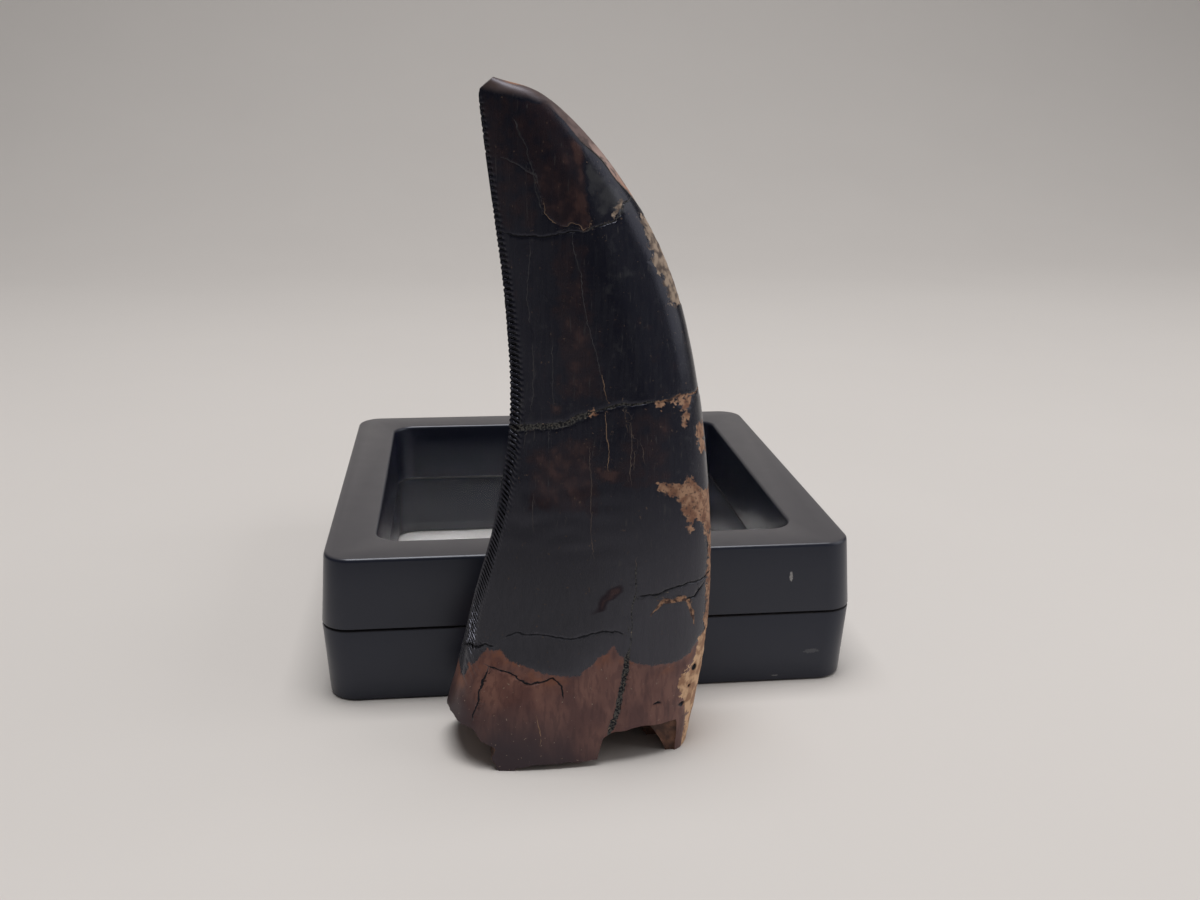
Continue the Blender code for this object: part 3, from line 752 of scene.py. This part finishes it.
def build_tooth(skin_material, break_material):
    tooth = wrap_skin(tooth_sheet())
    give(tooth, skin_material)
    cut(tooth, roughened(pulp_hollow(), 0.5, 2.4, 0.9, break_material))
    cut(tooth, roughened(outline_block("missing corner", BROKEN_CORNER, TOOTH_REACH / MM, BREAK_SLOPE),
                         0.4, 1.8, 1.0, break_material))
    cut(tooth, roughened(outline_block("raised edge", RAISED_EDGE, 5.0, 0.0), 0.3, 1.4, 0.5, break_material))
    cut(tooth, roughened(outline_block("notch", NOTCH, 7.0, 0.0), 0.3, 1.6, 0.5, break_material))
    cut(tooth, roughened(outline_block("notch ledge", NOTCH_LEDGE, 3.3, 0.0), 0.3, 1.6, 0.3, break_material))
    cut(tooth, roughened(slab_under(), 0.45, 2.6, 0.7, break_material))
    take(tooth)
    bpy.ops.object.shade_smooth_by_angle(angle=math.radians(50))
    own = unstand(points_of(tooth) / MM)
    distance, offset, width, _, filling = crack_fields(own)
    for name, values in (("crown", enamel_height(own)), ("bare", bare_depth(own)), ("stain_and_sheen", stain_and_sheen(own)),
                         ("worn", worn_depth(own)), ("crack_distance", distance), ("crack_offset", offset),
                         ("crack_width", width), ("crack_filling", filling)):
        mark(tooth, name, values)
    return tooth


# Display box

def rounded_block(name, size_low, size_high, z_low, z_high, radius):
    """A square block with rounded upright corners, whose walls may lean."""
    bpy.ops.object.select_all(action='DESELECT')
    bpy.ops.mesh.primitive_cube_add(size=1, location=(0, BOX_Y, (z_low + z_high) / 2))
    block = named(name)
    block.scale = (size_low, size_low, z_high - z_low)
    bpy.ops.object.transform_apply(location=True, rotation=True, scale=True)
    ends = edge_ends(block)
    z = points_of(block)[:, 2]
    select_edges(block, np.abs(z[ends[:, 0]] - z[ends[:, 1]]) > 1e-6)
    bpy.ops.mesh.bevel(offset=radius, segments=14, profile=0.5, affect='EDGES')
    bpy.ops.object.mode_set(mode='OBJECT')
    points = points_of(block)
    top = points[:, 2] > (z_low + z_high) / 2
    centre = np.array([0, BOX_Y])
    points[top, :2] = centre + (points[top, :2] - centre) * (size_high / size_low)
    move_points(block, points)
    return block


def round_edges(obj, z_level, reach, steps):
    """Rounds the sharp edges that lie at one height."""
    mesh = obj.data
    points, ends = points_of(obj), edge_ends(obj)
    level = (np.abs(points[:, 2] - z_level) < 0.01 * MM)[ends].all(1)
    normals = np.array([tuple(face.normal) for face in mesh.polygons])
    keys = {tuple(sorted(edge.vertices)): edge.index for edge in mesh.edges}
    faces_at = [[] for _ in mesh.edges]
    for face in mesh.polygons:
        for key in face.edge_keys:
            faces_at[keys[tuple(sorted(key))]].append(face.index)
    sharp = np.array([len(f) == 2 and normals[f[0]].dot(normals[f[1]]) < 0.85 for f in faces_at])
    select_edges(obj, level & sharp)
    bpy.ops.mesh.bevel(offset=reach, segments=steps, profile=0.5, affect='EDGES')
    bpy.ops.object.mode_set(mode='OBJECT')


def box_half(name, side, height, material):
    """One moulded frame of the box: side is 1 above the seam and -1 below it."""
    def block(part, seam_size, rim_size, seam_offset, rim_offset, radius):
        z_seam, z_rim = SEAM_Z + side * seam_offset, SEAM_Z + side * rim_offset
        if side > 0:
            return rounded_block(part, seam_size, rim_size, z_seam, z_rim, radius)
        return rounded_block(part, rim_size, seam_size, z_rim, z_seam, radius)

    beyond = 1.0 * MM
    rim_size = BOX_SIZE - 2 * BOX_DRAFT
    inner = BOX_SIZE - 2 * WALL
    core_size = WINDOW_SIZE + 2 * WALL
    half = block(name, BOX_SIZE, rim_size, SEAM_GAP / 2, height, CORNER_RADIUS)
    channel = block(f"{name} channel", inner, inner - 2 * BOX_DRAFT, -beyond, height - WALL,
                    CORNER_RADIUS - WALL)
    cut(channel, block(f"{name} core", core_size, core_size, -2 * beyond, height + beyond,
                       WINDOW_RADIUS + WALL))
    cut(half, channel)
    cut(half, block(f"{name} window", WINDOW_SIZE - 2 * WINDOW_DRAFT, WINDOW_SIZE, -beyond, height + beyond,
                    WINDOW_RADIUS))
    take(half)
    bpy.ops.object.mode_set(mode='EDIT')
    bpy.ops.mesh.select_all(action='SELECT')
    bpy.ops.mesh.dissolve_limited(angle_limit=math.radians(0.4))
    bpy.ops.object.mode_set(mode='OBJECT')
    round_edges(half, SEAM_Z + side * height, RIM_ROUNDING, 5)
    round_edges(half, SEAM_Z + side * SEAM_GAP / 2, SEAM_ROUNDING, 2)
    give(half, material)
    take(half)
    bpy.ops.object.shade_smooth_by_angle(angle=math.radians(38))
    return half


def film(name, side, material):
    """The clear film across the window of one half."""
    z_low, z_high = sorted((SEAM_Z + side * FILM_OFFSET, SEAM_Z + side * (FILM_OFFSET + FILM_THICKNESS)))
    sheet = rounded_block(name, FILM_SIZE, FILM_SIZE, z_low, z_high, WINDOW_RADIUS)
    give(sheet, material)
    return sheet


# Materials

class Finish:
    """A material that is put together node by node."""

    def __init__(self, name):
        self.material = bpy.data.materials.new(name)
        self.material.use_nodes = True
        self.tree = self.material.node_tree
        self.shader = self.tree.nodes["Principled BSDF"]
        self.shader.inputs["Metallic"].default_value = 0.0

    def node(self, kind, inputs=(), **settings):
        made = self.tree.nodes.new(kind)
        for key, value in settings.items():
            setattr(made, key, value)
        for key, value in dict(inputs).items():
            self.put(made.inputs[key], value)
        return made

    def put(self, socket, value):
        if isinstance(value, bpy.types.NodeSocket):
            self.tree.links.new(value, socket)
        else:
            socket.default_value = value

    def set(self, name, value):
        self.put(self.shader.inputs[name], value)

    def coordinates(self, stretch=(1, 1, 1)):
        """Object coordinates in mm, squeezed by stretch."""
        source = self.node('ShaderNodeTexCoord').outputs["Object"]
        scale = [s / MM for s in stretch]
        return self.node('ShaderNodeMapping', {"Vector": source, "Scale": scale}).outputs[0]

    def marked(self, name):
        return self.node('ShaderNodeAttribute', attribute_name=name).outputs["Fac"]

    def lumps(self, size, detail=3.0, stretch=(1, 1, 1)):
        """Noise from 0 to 1 with lumps about size mm across."""
        return self.node('ShaderNodeTexNoise', {"Vector": self.coordinates(stretch), "Scale": 1 / size,
                                                "Detail": detail}).outputs["Fac"]

    def math(self, operation, a, b=0.0):
        return self.node('ShaderNodeMath', {0: a, 1: b}, operation=operation).outputs[0]

    def times(self, a, b):
        return self.math('MULTIPLY', a, b)

    def plus(self, a, b):
        return self.math('ADD', a, b)

    def minus(self, a, b):
        return self.math('SUBTRACT', a, b)

    def wander(self, value, amount):
        """A noise from 0 to 1, made to swing evenly about zero."""
        return self.times(self.minus(value, 0.5), amount)

    def between(self, low, high, value):
        """0 below low and 1 above high, with an even ease."""
        return self.node('ShaderNodeMapRange', {"Value": value, "From Min": low, "From Max": high},
                         interpolation_type='SMOOTHSTEP').outputs[0]

    def mix(self, share, first, second):
        """Mixes two colours."""
        made = self.node('ShaderNodeMix', data_type='RGBA')
        self.put(made.inputs["Factor"], share)
        self.put(made.inputs[6], first)
        self.put(made.inputs[7], second)
        return made.outputs[2]

    def blend(self, share, first, second):
        """Mixes two numbers."""
        made = self.node('ShaderNodeMix', data_type='FLOAT')
        self.put(made.inputs["Factor"], share)
        self.put(made.inputs[2], first)
        self.put(made.inputs[3], second)
        return made.outputs[0]

    def bump(self, height, distance, strength=1.0, under=None):
        inputs = {"Height": height, "Distance": distance * MM, "Strength": strength}
        if under is not None:
            inputs["Normal"] = under
        return self.node('ShaderNodeBump', inputs).outputs[0]


def rgb(r, g, b):
    return (r, g, b, 1.0)


def fossil_skin():
    m = Finish("fossil_skin")
    crown, bare, stain_and_sheen_mark, worn = m.marked("crown"), m.marked("bare"), m.marked("stain_and_sheen"), m.marked("worn")
    distance, offset, width = m.marked("crack_distance"), m.marked("crack_offset"), m.marked("crack_width")
    filling, gap = m.marked("crack_filling"), m.marked("gap")
    place = m.node('ShaderNodeSeparateXYZ', {0: m.coordinates()})
    along_x, up = place.outputs[0], place.outputs[2]

    streaks = m.lumps(0.45, 4, (1, 1, 0.08))
    broad = m.lumps(6.0, 3, (1, 1, 0.35))
    mottle = m.lumps(1.3, 5)
    grain = m.lumps(0.25, 5)

    # Enamel, from slate over black and maroon to rust, with fine upright scratches; the slate is a painted
    # highlight, and the black is painted lighter towards the foot as painted light bounced up from the floor
    uneven = m.blend(m.between(22.0, 36.0, up), 0.8, 3.0)
    tint = m.plus(stain_and_sheen_mark, m.wander(mottle, uneven))
    tint = m.plus(tint, m.wander(broad, 1.4))
    # Painted light: the black enamel is painted lighter towards the foot, for the light that bounces up onto
    # it from the floor
    dark = m.mix(m.between(38.0, 18.0, up), rgb(0.0018, 0.0022, 0.0080), rgb(0.0440, 0.0430, 0.0490))
    enamel = m.mix(m.between(0.3, 0.7, streaks), dark, m.mix(0.25, dark, rgb(0.022, 0.022, 0.025)))
    # Painted highlight: slate where the tint falls below zero, for the sheen of the overhead light on the
    # enamel
    enamel = m.mix(m.between(-0.2, -1.3, tint), enamel, rgb(0.036, 0.037, 0.040))
    enamel = m.mix(m.between(0.2, 1.2, tint), enamel, rgb(0.0150, 0.0080, 0.0100))
    enamel = m.mix(m.between(1.1, 2.1, tint), enamel, rgb(0.052, 0.026, 0.022))
    scratch = m.between(0.66, 0.76, m.lumps(0.30, 2, (1, 1, 0.045)))
    enamel = m.mix(m.times(scratch, 0.7), enamel, rgb(0.048, 0.045, 0.044))
    speck = m.times(m.between(0.67, 0.73, m.lumps(0.33, 2)), m.between(0.46, 0.58, mottle))
    enamel = m.mix(speck, enamel, rgb(0.090, 0.062, 0.045))

    # Root, darker towards its lower rear corner and rusty under the enamel
    root = m.mix(m.between(0.35, 0.65, m.lumps(2.6, 5, (1, 1, 0.5))), rgb(0.105, 0.046, 0.036),
                 rgb(0.190, 0.090, 0.066))
    root = m.mix(m.times(m.between(0.48, 0.62, m.lumps(0.5, 4, (1, 1, 0.25))), 0.45), root,
                 rgb(0.070, 0.030, 0.024))
    lower = m.plus(up, m.times(along_x, 0.45))
    lower = m.plus(lower, m.wander(broad, 9.0))
    root = m.mix(m.between(4.5, -4.0, lower), root, rgb(0.040, 0.023, 0.023))
    rust = m.times(m.between(-2.2, -0.3, crown), m.between(0.45, 0.62, m.lumps(1.9, 4)))
    root = m.mix(rust, root, rgb(0.20, 0.080, 0.045))
    root = m.mix(m.between(0.70, 0.76, m.lumps(0.35, 2)), root, rgb(0.28, 0.20, 0.15))
    edge = m.plus(crown, m.wander(grain, 0.9))
    covered = m.between(-0.12, 0.12, edge)
    colour = m.mix(covered, root, enamel)

    # Worn band along the front edge near the tip, which fades towards the tip; there its soft, pale top is a
    # painted highlight
    # Painted highlight: near the tip the band's edge turns soft and wide, so the pale colour spreads over the
    # rounded tip
    soft = m.blend(m.between(73.0, 75.4, up), 0.09, 0.45)
    inner = m.plus(worn, m.blend(m.between(73.0, 75.0, up), -0.06, 0.05))
    on_band = m.between(m.times(soft, -1.0), soft, inner)
    band = m.mix(m.between(64.5, 68.5, up), rgb(0.40, 0.20, 0.12), rgb(0.34, 0.235, 0.205))
    band = m.mix(m.between(69.5, 71.5, up), band, rgb(0.15, 0.105, 0.098))
    # Painted highlight: the pale lavender-grey of the band's top at the tip
    band = m.mix(m.between(73.0, 75.0, up), band, rgb(0.092, 0.070, 0.070))
    band = m.mix(m.between(0.50, 0.62, mottle), band, rgb(0.085, 0.060, 0.056))
    orange = m.times(m.between(0.85, 1.15, worn), m.between(73.4, 74.4, up))
    band = m.mix(m.times(orange, m.between(-11.5, -10.0, along_x)), band, rgb(0.34, 0.15, 0.075))
    colour = m.mix(on_band, colour, band)
    rim = m.times(m.between(-0.22, -0.10, worn), m.minus(1.0, on_band))
    colour = m.mix(m.times(rim, m.between(72.5, 70.5, up)), colour, rgb(0.003, 0.003, 0.003))

    # Bare patches
    pale = m.mix(m.between(0.35, 0.60, m.lumps(0.9, 5)), rgb(0.20, 0.095, 0.055), rgb(0.40, 0.235, 0.145))
    spots = m.times(m.between(0.56, 0.64, m.lumps(0.35, 3)), 0.75)
    pale = m.mix(spots, pale, rgb(0.060, 0.036, 0.028))
    ochre = m.mix(m.between(0.42, 0.60, mottle), rgb(0.34, 0.185, 0.105), rgb(0.66, 0.43, 0.26))
    pale = m.mix(m.between(17.0, 13.0, up), pale, ochre)
    ashen = m.mix(m.between(0.35, 0.60, m.lumps(0.9, 5)), rgb(0.085, 0.062, 0.048), rgb(0.34, 0.26, 0.195))
    pale = m.mix(m.between(50.0, 54.0, up), pale, ashen)
    bared = m.plus(bare, m.wander(m.lumps(0.75, 4), 2.0))
    bared = m.plus(bared, m.wander(m.lumps(0.28, 3), 0.9))
    bared = m.between(-0.12, 0.12, bared)
    colour = m.mix(bared, colour, pale)

    # Cracks with what fills them; open ones are painted near black as the shade inside the gap
    across = m.math('DIVIDE', m.math('ABSOLUTE', offset), width)
    across = m.plus(across, m.wander(m.lumps(0.5, 5), 1.6))
    line = m.minus(1.0, m.between(0.8, 1.25, across))
    line = m.times(line, m.minus(1.0, m.between(0.30, 0.48, distance)))
    rubble = m.mix(m.between(0.44, 0.58, m.lumps(0.22, 3)), rgb(0.006, 0.006, 0.006),
                   rgb(0.085, 0.082, 0.072))
    rubble = m.mix(m.between(0.66, 0.72, m.lumps(0.35, 2)), rubble, rgb(0.30, 0.23, 0.16))
    chalk = m.mix(m.between(0.40, 0.55, m.lumps(0.5, 3)), rgb(0.060, 0.032, 0.022), rgb(0.34, 0.19, 0.11))
    # Painted shade: an open crack gets near black for the shade in its gap
    filled = m.mix(m.between(0.15, 0.45, filling), rgb(0.0025, 0.0025, 0.0025), rubble)
    filled = m.mix(m.between(0.55, 0.80, filling), filled, chalk)
    hair = m.mix(m.between(0.3, 0.9, filling), rgb(0.052, 0.050, 0.052), rgb(0.26, 0.165, 0.100))
    thin = m.between(0.055, 0.045, width)
    filled = m.mix(thin, filled, hair)
    broken = m.blend(thin, 1.0, m.between(0.35, 0.44, m.lumps(1.4, 3, (1, 1, 0.35))))
    colour = m.mix(m.times(line, broken), colour, filled)
    # Painted shade: the slots between the denticles and the pits are painted near black
    colour = m.mix(m.between(0.15, 0.6, gap), colour, rgb(0.0018, 0.0018, 0.0022))

    m.set("Base Color", colour)
    rough = m.blend(covered, 0.42, m.blend(streaks, 0.22, 0.32))
    rough = m.blend(on_band, rough, 0.40)
    rough = m.blend(m.math('MAXIMUM', bared, line), rough, 0.75)
    m.set("Roughness", rough)
    shape = m.bump(streaks, 0.02, 0.5)
    m.set("Normal", m.bump(grain, 0.015, 0.5, shape))
    m.set("IOR", 1.46)
    m.set("Specular Tint", rgb(0.80, 0.82, 1.0))
    return m.material


def broken_bone():
    m = Finish("broken_bone")
    colour = m.mix(m.between(0.35, 0.65, m.lumps(1.6, 5)), rgb(0.050, 0.020, 0.013), rgb(0.17, 0.075, 0.043))
    m.set("Base Color", m.mix(m.between(0.55, 0.75, m.lumps(0.7, 5)), colour, rgb(0.02, 0.009, 0.006)))
    m.set("Roughness", 0.65)
    m.set("Normal", m.bump(m.lumps(0.4, 5), 0.12))
    return m.material


def moulded_plastic():
    m = Finish("moulded_plastic")
    colour = m.mix(m.lumps(6.0, 4), rgb(0.0065, 0.0080, 0.0175), rgb(0.0085, 0.0100, 0.0200))
    normal = m.node('ShaderNodeTexCoord').outputs["Normal"]
    facing_up = m.node('ShaderNodeSeparateXYZ', {0: normal}).outputs[2]
    # Faces that look up are painted lighter: partly dust, partly a painted sheen of the overhead light and
    # backdrop on the rim tops
    dust_and_sheen = m.times(m.between(0.55, 0.98, facing_up), m.blend(m.lumps(3.0, 4), 0.75, 1.0))
    colour = m.mix(dust_and_sheen, colour, rgb(0.074, 0.070, 0.074))
    place = m.node('ShaderNodeSeparateXYZ', {0: m.coordinates()})
    for x, z, wide, tall, strength in SCUFFS:
        away_x = m.math('DIVIDE', m.minus(place.outputs[0], x), wide)
        away_z = m.math('DIVIDE', m.minus(place.outputs[2], z), tall)
        away = m.plus(m.times(away_x, away_x), m.times(away_z, away_z))
        away = m.plus(away, m.times(m.lumps(0.25, 3), 1.6))
        share = m.times(m.between(1.6, 1.0, away), m.between(-24.0, -25.0, place.outputs[1]))
        colour = m.mix(m.times(share, strength), colour, rgb(0.45, 0.44, 0.43))
    m.set("Base Color", colour)
    m.set("Roughness", m.blend(m.lumps(4.0, 4), 0.27, 0.36))
    m.set("IOR", 1.55)
    m.set("Specular Tint", rgb(0.86, 0.90, 1.0))
    m.set("Normal", m.bump(m.lumps(0.12, 3), 0.012, 0.5))
    return m.material


def clear_film():
    m = Finish("clear_film")
    m.set("Base Color", rgb(0.985, 0.99, 1.0))
    m.set("Transmission Weight", 0.996)
    m.set("IOR", 1.05)
    m.set("Roughness", m.blend(m.between(0.55, 0.8, m.lumps(3.0, 4)), 0.02, 0.12))
    return m.material


def pale_table():
    m = Finish("pale_table")
    m.set("Base Color", m.mix(m.lumps(60.0, 4), rgb(0.610, 0.580, 0.557), rgb(0.635, 0.605, 0.580)))
    m.set("Roughness", 0.7)
    m.set("Normal", m.bump(m.lumps(1.5, 4), 0.05, 0.3))
    return m.material


# The object

tooth = build_tooth(fossil_skin(), broken_bone())
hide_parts("tooth")
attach(tooth, "root")

plastic, clear = moulded_plastic(), clear_film()
for place, side, height in (("lower", -1, LOWER_HEIGHT), ("upper", 1, UPPER_HEIGHT)):
    half = box_half(f"box_frame_{place}", side, height, plastic)
    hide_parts(f"frame_{place}")
    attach(half, "root")
    sheet = film(f"box_film_{place}", side, clear)
    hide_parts(f"film_{place}")
    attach(sheet, "root")


# Floor, light and camera

def studio_sweep():
    """A pale floor that curves up into a backdrop."""
    bpy.ops.object.select_all(action='DESELECT')
    bpy.ops.mesh.primitive_plane_add(size=1)
    sweep = named("studio_sweep")
    points = points_of(sweep)
    move_points(sweep, points * (3.0, 1.9, 1) + (0, -0.15, 0))
    ends = edge_ends(sweep)
    points = points_of(sweep)
    back = points[:, 1] > 0
    select_edges(sweep, back[ends].all(1))
    bpy.ops.mesh.extrude_region_move(TRANSFORM_OT_translate={"value": (0, 0.02, 1.2)})
    bpy.ops.object.mode_set(mode='OBJECT')
    points, ends = points_of(sweep), edge_ends(sweep)
    fold = (points[:, 1] > 0) & (points[:, 2] < 0.01)
    select_edges(sweep, fold[ends].all(1))
    bpy.ops.mesh.bevel(offset=0.45, segments=24, profile=0.5, affect='EDGES')
    face_outward()
    bpy.ops.object.shade_smooth()
    sweep.data.materials.append(pale_table())
    return sweep


def soft_light(name, place, aim, size, power, spread):
    lamp = bpy.data.lights.new(name, 'AREA')
    lamp.shape = 'RECTANGLE'
    lamp.size, lamp.size_y = size
    lamp.energy = power
    lamp.spread = spread
    lamp.color = (1.0, 0.99, 0.985)
    obj = bpy.data.objects.new(name, lamp)
    bpy.context.scene.collection.objects.link(obj)
    obj.location = place
    obj.rotation_euler = (Vector(aim) - Vector(place)).to_track_quat('-Z', 'Y').to_euler()
    return obj


studio_sweep()
soft_light("overhead", (0.0, 0.0, 0.95), (0, 0.0, 0), (0.6, 0.5), 4.25, math.radians(130))
soft_light("front card", (0.45, -0.8, 0.22), (0, -0.02, 0.04), (0.8, 0.45), 0.25, math.radians(180))
soft_light("right card", (0.75, -0.12, 0.42), (0, -0.02, 0.03), (0.7, 0.7), 1.9, math.radians(180))
world = bpy.data.worlds.new("soft surround")
world.use_nodes = True
world.node_tree.nodes["Background"].inputs["Color"].default_value = (1.0, 0.99, 0.985, 1.0)
world.node_tree.nodes["Background"].inputs["Strength"].default_value = 0.12
bpy.context.scene.world = world
bpy.context.scene.view_settings.view_transform = 'Standard'

camera = bpy.data.cameras.new("camera")
camera.sensor_width = 36
camera.lens = 35.85
camera.clip_start = 0.01
viewer = bpy.data.objects.new("camera", camera)
viewer.location = (-0.01649, -0.16722, 0.07573)
viewer.rotation_euler = (math.radians(73.456), math.radians(-0.51), math.radians(-6.718))
bpy.context.scene.collection.objects.link(viewer)
bpy.context.scene.camera = viewer
